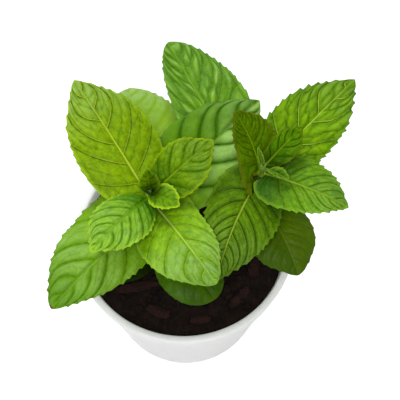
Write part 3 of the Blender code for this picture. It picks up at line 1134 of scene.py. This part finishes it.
        puff = puff * (1 - self.rung_puff * (1 - ease(0.0, 0.34, gap) * (0.55 + 0.45 * pick)))
        return {"phase": phase, "spacing": spacing, "fork": fork, "rung": gap * self.rung_pitch, "puff": puff}

    def shape(self, stem: Stem) -> tuple[np.ndarray, dict, list]:
        """Works out the blade's points, the values stored at them, and its faces.

        Args:
            stem: The stem that carries the leaf.

        Returns:
            The points of both faces of the blade, the stored values by name, and the mesh's faces.
        """
        noise = Noise(self.seed)
        grid = self.grid(stem)
        along = grid.along.clip(0, 1)
        points, normal, half, out = self.sheet(stem, grid, noise)
        out = out / MILLIMETRE
        stored = self.relief(grid, points, out, noise)

        inside = ease(0.15, 1.6, out) * (1 - 0.65 * ease(0.6, 1, grid.reach))
        inside = inside * ease(0.0, 0.07, grid.row) * (1 - ease(0.88, 1.0, grid.row))
        size_share = np.clip(stored["spacing"] / 4.5, 0.25, 1.2)
        lumps = noise.layered(points / (LUMP_WIDTH * MILLIMETRE), 2) * 0.3
        lumps = lumps + noise.at(points / (FINE_LUMP_WIDTH * MILLIMETRE)) * 0.06
        lumps = lumps * ease(0.03, 0.2, grid.along)
        height = inside * (stored["puff"] * self.puff * size_share + lumps) * MILLIMETRE
        groove = GROOVE_DEPTH * np.exp(-((out / GROOVE_WIDTH) ** 2)) * (1 - along) ** 0.4
        height = height - groove * MILLIMETRE * ease(0, 0.05, grid.along)
        rib = RIB_HEIGHT * np.exp(-((out / RIB_WIDTH) ** 2)) * (1 - along) ** 0.8
        rib = rib + SIDE_RIB_HEIGHT * (1 - swell(stored["phase"])) ** 3 * inside
        thick = LEAF_THICKNESS * (1 - 0.55 * ease(MARGIN_START, 1.0, grid.reach))
        top = points + normal * (height + thick / 2)[..., None]
        bottom = points + normal * (height * 0.95 - thick / 2 - rib * MILLIMETRE)[..., None]

        stored |= {"out": out, "along": along, "reach": grid.reach, "side": grid.reach * grid.sign,
                   "edge": (1 - grid.reach) * half / MILLIMETRE}
        values = {name: np.tile(value.ravel(), 2) for name, value in stored.items()}
        values["under"] = np.repeat([0.0, 1.0], out.size)
        return np.concatenate([top.reshape(-1, 3), bottom.reshape(-1, 3)]), values, sheet_faces(*out.shape)


LEFT_LEAVES = (
    Leaf("leaf_left_1a", 0.060, 328, 30, -30, 0.016, 0.013, Tone.YOUNG, fold=25, curl=20, stalk=0.001,
         veins=5, puff=0.55),
    Leaf("leaf_left_1b", 0.060, 98, 60, -5, 0.012, 0.012, Tone.HEART, fold=40, curl=10, stalk=0.001,
         base_power=0.5, tip_power=0.55, veins=4, puff=0.5),
    Leaf("leaf_left_2a", 0.056, 36, 36, -25, 0.037, 0.024, Tone.OLIVE, fold=15, stalk=0.0015,
         tip_power=0.66, veins=5.2, straight=0.8, puff=1.1, rung_puff=0.5, tooth=0.7, point=0.45),
    Leaf("leaf_left_2b", 0.056, 232, 34, -35, 0.041, 0.025, Tone.FRESH, curl=40, stalk=0.0015,
         base_power=0.6, puff=1.1, rung_puff=0.5, point=0.4),
    Leaf("leaf_left_3a", 0.049, 124, 28, -25, 0.065, 0.038, Tone.LIME, curl=25, veins=5.7, lead=3.0,
         straight=0.5, puff=0.9, rung_puff=0.6, rung_pitch=4.0, tooth=0.6, pitch_of_teeth=4.9,
         lobes=(0.004, 0.0)),
    Leaf("leaf_left_3b", 0.049, 303, 30, -29, 0.0537, 0.0309, Tone.PALE, stalk=0.0025, base_power=0.43,
         tip_power=0.59, skew=-0.16, veins=5.2, lead=2.6, puff=1.0, rung_puff=0.5, rung_pitch=4.0,
         tooth=0.6, lobes=(0.013, 0.0), point=0.2),
    Leaf("leaf_left_4a", 0.038, 228, 22, -25, 0.066, 0.0373, Tone.MEADOW, sweep=3, stalk=0.004,
         base_power=0.38, tip_power=0.67, skew=-0.14, veins=6, puff=1.3, rung_puff=0.3, rung_pitch=5.0,
         lobes=(0.0, 0.008), point=0.2),
    Leaf("leaf_left_4b", 0.038, 45, 35, -43, 0.071, 0.041, Tone.GLAUCOUS, fold=8, stalk=0.004, skew=0.05,
         veins=6, puff=1.7, rung_puff=0.05, tooth=0.4),
    Leaf("leaf_left_5a", 0.021, 101.5, 38, -75, 0.079, 0.043, Tone.MISTY, fold=8, stalk=0.006,
         base_power=0.6, tip_power=0.5, puff=0.3),
    Leaf("leaf_left_5b", 0.021, 308, 10, -30, 0.0447, 0.029, Tone.DIM, fold=8, stalk=0.006, base_power=0.6,
         tip_power=0.5, skew=-0.1, veins=6, puff=0.2, tooth=0.25, point=0.0, slot="old_leaf"),
    Leaf("leaf_left_6a", 0.010, 238, 18, -30, 0.030, 0.016, Tone.DUSK, fold=8, stalk=0.005, base_power=0.6,
         veins=5, puff=0.2, tooth=0.3, slot="old_leaf"),
)
RIGHT_LEAVES = (
    Leaf("leaf_right_1a", 0.066, 43, 26, -14, 0.0243, 0.0127, Tone.BRONZED, fold=12, curl=20,
         base_power=0.7, skew=-0.1, veins=5),
    Leaf("leaf_right_1b", 0.0655, 328, 24, -15, 0.0135, 0.0068, Tone.DOWNY, fold=50, curl=10, stalk=0.003,
         base_power=0.8, veins=4, puff=0.2),
    Leaf("leaf_right_2a", 0.060, 104, 36, -6, 0.030, 0.0195, Tone.MOSS, sweep=28, fold=14, curl=20,
         base_power=0.44, tip_power=0.65, skew=-0.15, veins=5, rung_puff=0.6, lobes=(0.010, 0.001),
         slot="old_leaf"),
    Leaf("leaf_right_2b", 0.061, 336, 20, -30, 0.041, 0.027, Tone.CREASED, sweep=-4, fold=12,
         base_power=0.42, tip_power=0.76, skew=0.01, straight=0.9, rung_puff=0.6, lobes=(0.001, 0.0035)),
    Leaf("leaf_right_3a", 0.056, 45, 24, -24, 0.0615, 0.0316, Tone.SUNNY, stalk=0.0025, tip_power=0.76,
         skew=0.055, veins=4.3, lead=2.5, straight=0.7, puff=1.2, rung_puff=0.85, forks=0.0, rung_pitch=4.0,
         tooth=1.1),
    Leaf("leaf_right_3b", 0.056, 238, 6, -28, 0.050, 0.032, Tone.RIBBED, sweep=18, base_power=0.36,
         skew=0.09, veins=8.5, lead=3.3, puff=1.2, rung_puff=0.45, rung_pitch=4.5, lobes=(0.0, 0.0055)),
    Leaf("leaf_right_4a", 0.037, 118.7, 14, -10, 0.0845, 0.0345, Tone.QUILTED, fold=8, stalk=0.006,
         base_power=0.6, tip_power=0.62, skew=-0.22, veins=4.8, lead=2.5, straight=0.8, puff=2.0,
         rung_puff=1.0, forks=0.0, rung_pitch=4.6, tooth=0.6, point=0.0),
    Leaf("leaf_right_4b", 0.038, 302, 25, -55, 0.0433, 0.030, Tone.SHADE, sweep=-12, fold=8, stalk=0.005,
         base_power=0.6, tip_power=0.62, veins=6, puff=0.35, tooth=0.4, slot="old_leaf"),
)
STEM_LEFT = Stem("stem_left", (-0.012, 0.000), (-0.0141, -0.0019), 0.062,
                 (0.010, 0.021, 0.038, 0.049, 0.056, 0.060), 0.0608)
STEM_RIGHT = Stem("stem_right", (0.030, 0.006), (0.0345, 0.0071), 0.068,
                  (0.0375, 0.056, 0.0605, 0.0655), 0.0668)


@dataclass(frozen=True)
class Sprout:
    """One folded leaf of a growing tip: its heading, pitch and fold in degrees, and its size."""

    azimuth: float
    pitch: float
    fold: float
    length: float
    width: float
    bend: float = 8.0


@dataclass
class Bud:
    """The growing tip: small folded leaves round the end of a stem."""

    name: str
    stem: Stem
    tone: Tone
    sprouts: tuple
    sunk: float = 0.0006

    def leaf(self, number: int, sprout: Sprout) -> Leaf:
        """The small leaf of one sprout."""
        return Leaf(f"{self.name}_{number}", self.stem.top - self.sunk, sprout.azimuth, sprout.pitch,
                    sprout.bend, sprout.length, sprout.width, self.tone, fold=sprout.fold, curl=10,
                    stalk=0.0004, veins=4, puff=0.12, tooth=0.35, wave=0.2)

    def build(self) -> bpy.types.Object:
        """Makes the folded leaves of the tip as one piece.

        Returns:
            The piece.
        """
        parts = [self.leaf(number, sprout).shape(self.stem) for number, sprout in enumerate(self.sprouts)]
        faces: list = []
        start = 0
        for made, _, plan in parts:
            faces.extend([corner + start for corner in face] for face in plan)
            start += len(made)
        points = np.concatenate([made for made, _, _ in parts])
        stored = {label: np.concatenate([values[label] for _, values, _ in parts]) for label in parts[0][1]}
        return add_piece(f"{self.name}_leaves", points, faces, self.tone.material(),
                         (self.name,), stored)


BUD_LEFT = (Sprout(20, 48, 32, 0.0062, 0.0052), Sprout(200, 52, 34, 0.0056, 0.0048),
            Sprout(110, 76, 40, 0.0040, 0.0026), Sprout(290, 78, 40, 0.0038, 0.0026))
BUD_RIGHT = (Sprout(110, 40, 56, 0.0100, 0.0040, 14.0), Sprout(20, 72, 45, 0.0042, 0.0024),
             Sprout(200, 74, 45, 0.0038, 0.0024))


# ---------------------------------------------------------------------------------------------
# Pot and soil


def inner_radius(height: float) -> float:
    """The radius of the pot's inner wall at a height above the underside."""
    foot = POT_BASE_RADIUS - POT_WALL
    return foot + (POT_MOUTH_RADIUS - POT_BASE_RADIUS + POT_WALL) * (height / POT_HEIGHT)


def outer_radius(height: float) -> float:
    """The radius of the pot's outer wall at a height above the underside."""
    return inner_radius(height) + POT_WALL


def arc(middle: float, height: float, size: float, angles: Iterable[float]) -> list[tuple[float, float]]:
    """Points of an arc round a middle, for angles in radians from straight outward."""
    return [(middle + size * math.cos(angle), height + size * math.sin(angle)) for angle in angles]


def soil_height(x: np.ndarray, y: np.ndarray) -> np.ndarray:
    """The height of the soil's calm top, before its crumbs.

    Args:
        x: Places to the right.
        y: Places to the back.

    Returns:
        The heights.
    """
    share = np.minimum(1.0, np.hypot(x, y) / POT_MOUTH_RADIUS)
    wave = np.sin(190 * x + 1.3) * np.cos(160 * y - 0.4) + 0.6 * np.sin(310 * (x + y))
    return SOIL_LEVEL + SOIL_SWELL * (1 - share**2) + SOIL_WAVE * wave * (1 - share**4)


@dataclass
class Pot:
    """The tapered pot with its rim band, foot ring and drain holes."""

    segments: int = 144
    band_height: float = 0.011
    band_proud: float = 0.0016
    foot_round: float = 0.001
    rim_round: float = 0.0008
    ring_start: float = 0.0335
    ring_end: float = 0.0342
    ring_proud: float = 0.0006
    holes: int = 4
    hole_sides: int = 32
    hole_radius: float = 0.003
    hole_ring: float = 0.022
    smooth_up_to: float = 50.0

    def profile(self) -> list[tuple[float, float]]:
        """The section, from the middle of the underside round the wall to the middle of the floor.

        Returns:
            Pairs of radius and height.
        """
        low, top, proud, lip = POT_HEIGHT - self.band_height, POT_HEIGHT, self.band_proud, self.rim_round
        foot, rim, mouth = outer_radius(0) - self.foot_round, outer_radius(top) + proud, inner_radius(top)
        turns = (0.3, 0.7, 1.1, 1.45)
        return [
            (0.0, self.ring_proud), (self.ring_start, self.ring_proud), (self.ring_end, 0.0), (foot, 0.0),
            *arc(foot, self.foot_round, self.foot_round,
                 (turn - math.pi / 2 for turn in (0.4, 0.8, 1.2, 1.57))),
            *((outer_radius(height), height) for height in np.linspace(0.002, low - 0.0004, 12)),
            (outer_radius(low) + 0.0001, low - 0.0001),
            (outer_radius(low) + proud * 0.7, low + 0.0001),
            (outer_radius(low) + proud, low + 0.0006),
            *((outer_radius(height) + proud, height) for height in (low + 0.003, low + 0.006, top - 0.0012)),
            *arc(rim - lip, top - lip, lip, turns),
            *arc(mouth + lip, top - lip, lip, (math.pi - turn for turn in reversed(turns))),
            *((inner_radius(height), height) for height in np.linspace(top - 0.0012, POT_FLOOR + 0.001, 8)),
            (inner_radius(POT_FLOOR) - 0.0008, POT_FLOOR), (0.0, POT_FLOOR)]

    def build(self) -> bpy.types.Object:
        """Turns the section and cuts the drain holes.

        Returns:
            The piece.
        """
        maker = bmesh.new()
        points = [maker.verts.new((radius, 0, height)) for radius, height in self.profile()]
        edges = [maker.edges.new(pair) for pair in zip(points, points[1:])]
        bmesh.ops.spin(maker, geom=points + edges, cent=(0, 0, 0), axis=(0, 0, 1), angle=math.tau,
                       steps=self.segments, use_merge=True)
        bmesh.ops.remove_doubles(maker, verts=maker.verts, dist=0.00001)
        bmesh.ops.recalc_face_normals(maker, faces=maker.faces)
        body = self.solid("pot_shell", maker)
        for number in range(self.holes):
            self.drill(body, math.tau * (number + 0.5) / self.holes)
        body.data.shade_smooth()
        body.data.set_sharp_from_angle(angle=math.radians(self.smooth_up_to))
        body.data.materials.clear()
        body.data.materials.append(POT.build())
        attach(body, BODY)
        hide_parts("pot")
        log.info("pot_shell: %d faces", len(body.data.polygons))
        return body

    def drill(self, body: bpy.types.Object, turn: float) -> None:
        """Cuts one drain hole.

        Args:
            body: The pot, whose mesh is replaced.
            turn: The hole's heading in radians.
        """
        bit = bmesh.new()
        bmesh.ops.create_cone(bit, cap_ends=True, segments=self.hole_sides, radius1=self.hole_radius,
                              radius2=self.hole_radius, depth=0.02)
        spin = Matrix.Rotation(turn + math.pi / self.hole_sides, 3, "Z")
        bmesh.ops.rotate(bit, verts=bit.verts, cent=(0, 0, 0), matrix=spin)
        centre = (self.hole_ring * math.cos(turn), self.hole_ring * math.sin(turn), 0)
        bmesh.ops.translate(bit, verts=bit.verts, vec=centre)
        cutter = self.solid("drill", bit)
        change = body.modifiers.new("hole", "BOOLEAN")
        change.object = cutter
        change.operation = "DIFFERENCE"
        shaped = bpy.data.meshes.new_from_object(body.evaluated_get(bpy.context.evaluated_depsgraph_get()))
        body.modifiers.clear()
        body.data = shaped
        bpy.data.objects.remove(cutter)

    @staticmethod
    def solid(name: str, maker: bmesh.types.BMesh) -> bpy.types.Object:
        """An object from a bmesh.

        Args:
            name: Its name.
            maker: The bmesh, which is used up.

        Returns:
            The object.
        """
        mesh = bpy.data.meshes.new(name)
        maker.to_mesh(mesh)
        maker.free()
        return show(name, mesh)


@dataclass
class Soil:
    """The crumbly filling of the pot and the loose crumbs on it."""

    rings: int = 90
    segments: int = 220
    crumbs: int = 520
    crumb_least: float = 0.0004
    crumb_spread: float = 0.0011
    fibre_every: int = 9
    fibre_size: float = 0.0007
    fibre_shape: tuple = (4.5, 0.45, 0.35)
    lump_width: float = 0.0055
    pit_width: float = 0.0032
    roughness: float = 0.0011
    wobble: float = 0.28
    wall_clear: float = 0.0015
    stem_clear: float = 0.0028
    gap: float = 0.0003
    seed: int = 5
    sockets: tuple = (STEM_LEFT.foot, STEM_RIGHT.foot)

    def surface(self, x: np.ndarray, y: np.ndarray) -> np.ndarray:
        """The height of the soil's top with its crumbs.

        Args:
            x: Places to the right.
            y: Places to the back.

        Returns:
            The heights.
        """
        place = spot(x, y, 0)
        lumps = Noise(self.seed).layered(place / self.lump_width, 4)
        pits = np.abs(Noise(self.seed + 1).layered(place / self.pit_width, 3))
        return soil_height(x, y) + self.roughness * lumps - self.roughness * pits + 0.0002

    def build(self) -> list[bpy.types.Object]:
        """Makes the filling and the crumbs.

        Returns:
            The two pieces.
        """
        edge = inner_radius(SOIL_LEVEL) - 0.0002
        angle = np.arange(self.segments) / self.segments * math.tau
        reach = np.linspace(0.004, 1, self.rings)[:, None] * edge
        x, y = reach * np.cos(angle), reach * np.sin(angle)
        rings = [spot(x, y, self.surface(x, y)).reshape(-1, 3)]
        levels = (0.070, 0.050, 0.030, POT_FLOOR + 0.0013, POT_FLOOR + 0.0003)
        for height in levels:
            reach = inner_radius(height) - self.gap - (0.001 if height == levels[-1] else 0.0)
            rings.append(spot(reach * np.cos(angle), reach * np.sin(angle), height))
        faces = [face[::-1] for face in tube_faces(self.rings + len(levels), self.segments)]
        filling = add_piece("soil_bed", np.concatenate(rings), faces, SOIL.build(), ("soil",))
        return [filling, self.loose(edge)]

    def loose(self, edge: float) -> bpy.types.Object:
        """Makes the loose crumbs and fibres as one piece.

        Args:
            edge: The soil's radius.

        Returns:
            The piece.
        """
        draw = np.random.default_rng(self.seed)
        ball = bmesh.new()
        bmesh.ops.create_icosphere(ball, subdivisions=2, radius=1.0)
        base = np.array([vertex.co for vertex in ball.verts])
        plan = [[vertex.index for vertex in face.verts] for face in ball.faces]
        ball.free()
        points, faces = [], []
        for number in range(self.crumbs):
            reach = (edge - self.wall_clear) * math.sqrt(draw.uniform(0.0, 1.0))
            turn = draw.uniform(0, math.tau)
            size = self.crumb_least + self.crumb_spread * draw.uniform() ** 2.2
            stretch = draw.uniform(0.6, 1.4, 3)
            spin = Matrix.Rotation(draw.uniform(0, math.tau), 3, Vector(draw.normal(size=3)).normalized())
            if number % self.fibre_every == 0:
                stretch = np.array(self.fibre_shape)
                size = self.fibre_size
                spin = Matrix.Rotation(draw.uniform(0, math.tau), 3, "Z")
            x, y = reach * math.cos(turn), reach * math.sin(turn)
            if any(math.hypot(x - foot[0], y - foot[1]) < self.stem_clear for foot in self.sockets):
                continue
            wobble = 1 + self.wobble * Noise(number).at(base * 1.7 + number)[:, None]
            shape = (base * wobble * stretch * size) @ np.array(spin).T
            z = float(self.surface(np.array([x]), np.array([y]))[0]) + size * 0.25
            faces.extend([[corner + len(base) * len(points) for corner in face] for face in plan])
            points.append(shape + np.array([x, y, z]))
        return add_piece("soil_crumbs", np.concatenate(points), faces, CRUMB.build())


@dataclass(frozen=True)
class Chip:
    """One bark chip: its centre, its length and width, and its heading in degrees."""

    name: str
    centre: tuple
    length: float
    width: float
    heading: float
    thickness: float = 0.0016
    rows: int = 40
    columns: int = 14

    def build(self) -> bpy.types.Object:
        """Makes the chip as a fibrous slab with broken ends, lying on the soil.

        Returns:
            The piece.
        """
        noise = Noise(int(self.length * 1e5 + self.heading))
        axes = (np.linspace(-1, 1, count) for count in (self.rows, self.columns))
        along, over = np.meshgrid(*axes, indexing="ij")
        fibre = noise.layered(spot(along * 1.2, over * 7, 0), 3)
        ends = 1 + 0.24 * noise.layered(spot(np.sign(along), over * 2.6, 4), 2)
        flank = 1 + 0.16 * noise.layered(spot(along * 3.1, np.sign(over) + 2, 7), 2)
        taper = 1 - 0.50 * np.abs(along) ** 2.4
        forward = along * ends * self.length / 2
        sideways = over * flank * taper * self.width / 2
        turn = math.radians(self.heading)
        x = self.centre[0] + forward * math.cos(turn) - sideways * math.sin(turn)
        y = self.centre[1] + forward * math.sin(turn) + sideways * math.cos(turn)
        rest = float(soil_height(x, y).max()) + 0.0002
        crown = self.thickness * (0.75 - 0.25 * over**2) + 0.00028 * fibre
        bend = 0.0004 * along**2
        points = np.stack([spot(x, y, rest + crown + bend), spot(x, y, rest + 0.00015 * fibre + bend)])
        return add_piece(f"{self.name}_wood", points.reshape(-1, 3), sheet_faces(self.rows, self.columns),
                         BARK.build(), (self.name,))


CHIPS = (
    Chip("bark_chip_1", (-0.0215, -0.0240), 0.020, 0.0045, 12),
    Chip("bark_chip_2", (-0.0120, -0.0360), 0.011, 0.0050, -25),
    Chip("bark_chip_3", (0.0260, -0.0290), 0.013, 0.0045, 48),
    Chip("bark_chip_4", (0.0080, -0.0400), 0.009, 0.0040, 5),
    Chip("bark_chip_5", (0.0330, -0.0140), 0.010, 0.0050, 80),
    Chip("bark_chip_6", (-0.0300, 0.0180), 0.014, 0.0050, 60),
)


# ---------------------------------------------------------------------------------------------
# Studio


@dataclass(frozen=True)
class Lamp:
    """A square soft lamp that looks at the plant: its place, its side, its watts and its colour."""

    name: str
    place: tuple
    size: float
    power: float
    color: tuple = (1.0, 1.0, 1.0)

    def build(self) -> None:
        """Places the lamp and turns it to the plant."""
        light = bpy.data.lights.new(self.name, "AREA")
        light.size = self.size
        light.energy = self.power
        light.color = self.color
        made = show(self.name, light)
        made.location = self.place
        made.rotation_euler = (Vector((0, 0, 0.1)) - Vector(self.place)).to_track_quat("-Z", "Y").to_euler()


@dataclass
class Studio:
    """The floor, the lights and the camera."""

    elevation: float = 66.0
    lens: float = 99.0
    sensor: float = 36.0
    eye: tuple = (0.00753, -0.19676, 0.57024)
    floor_reach: float = 6.0
    floor_drop: float = 0.0002
    floor_glow: float = 0.42
    white_from: float = 0.5
    white_at: float = 2.2
    sky_strength: float = 0.21
    lamps: tuple = (Lamp("window", (-0.15, 0.72, 1.10), 0.5, 7.2, (0.96, 0.98, 1.0)),
                    Lamp("overhead", (-0.10, -0.50, 1.28), 0.5, 8.4),
                    Lamp("front_fill", (0.05, -1.35, 0.42), 1.0, 5.0),
                    Lamp("left_fill", (-0.75, 0.50, 1.00), 0.6, 2.6),
                    Lamp("right_fill", (0.75, 0.50, 1.00), 0.6, 1.4))

    def build(self) -> None:
        """Sets up the whole studio."""
        self.floor()
        self.world()
        for lamp in self.lamps:
            lamp.build()
        self.camera()
        bpy.context.scene.view_settings.view_transform = "Standard"

    def floor(self) -> None:
        """A pale floor that is white to the eye and still takes the object's shadow."""
        mesh = bpy.data.meshes.new("floor")
        corners = ((-1, -1), (1, -1), (1, 1), (-1, 1))
        mesh.from_pydata([(x * self.floor_reach, y * self.floor_reach, -self.floor_drop) for x, y in corners],
                         [], [(0, 1, 2, 3)])
        material, bench, shader = start_material("pale_floor")
        distance = bench.node("ShaderNodeVectorMath", {0: bench.place()}, operation="LENGTH")
        glow = bench.ramp(distance.outputs["Value"], self.white_from, self.white_at, self.floor_glow, 1.0)
        dust = bench.mix(bench.noise(6.0, 3.0), (0.80, 0.80, 0.80), (0.83, 0.83, 0.83))
        bench.feed(shader, {"Base Color": dust, "Roughness": 0.8, "Specular IOR Level": 0.1,
                            "Emission Color": (1.0, 1.0, 1.0),
                            "Emission Strength": bench.times(bench.seen(), glow)})
        mesh.materials.append(material)
        floor = show("floor", mesh)

    def world(self) -> None:
        """A plain soft light from all sides, white where it is seen."""
        world = bpy.data.worlds.new("soft_sky")
        world.use_nodes = True
        bench = Bench(world.node_tree)
        seen = bench.seen()
        bench.feed(world.node_tree.nodes["Background"],
                   {"Color": bench.mix(seen, (0.96, 0.98, 1.0), (1.0, 1.0, 1.0)),
                    "Strength": bench.ramp(seen, 0.0, 1.0, self.sky_strength, 1.0)})
        bpy.context.scene.world = world

    def camera(self) -> None:
        """A long lens that looks down on the plant from the front."""
        data = bpy.data.cameras.new("eye")
        data.lens = self.lens
        data.sensor_width = self.sensor
        made = show("eye", data)
        made.location = self.eye
        made.rotation_euler = (math.radians(90 - self.elevation), 0, 0)
        bpy.context.scene.camera = made


@dataclass
class Plant:
    """Both stems with their leaves and growing tips."""

    stems: tuple = ((STEM_LEFT, LEFT_LEAVES, Bud("bud_left", STEM_LEFT, Tone.CORE, BUD_LEFT)),
                    (STEM_RIGHT, RIGHT_LEAVES, Bud("bud_right", STEM_RIGHT, Tone.DOWNY, BUD_RIGHT)))

    def build(self) -> None:
        """Makes each stem and what it carries."""
        for stem, leaves, bud in self.stems:
            stem.build()
            for leaf in leaves:
                leaf.build(stem)
            bud.build()


def main() -> None:
    """Builds the pot, the soil, the bark, the plant and the studio."""
    logging.basicConfig(level=logging.INFO, format="%(name)s %(message)s")
    Pot().build()
    Soil().build()
    for chip in CHIPS:
        chip.build()
    Plant().build()
    Studio().build()


if __name__ == "__main__":
    main()
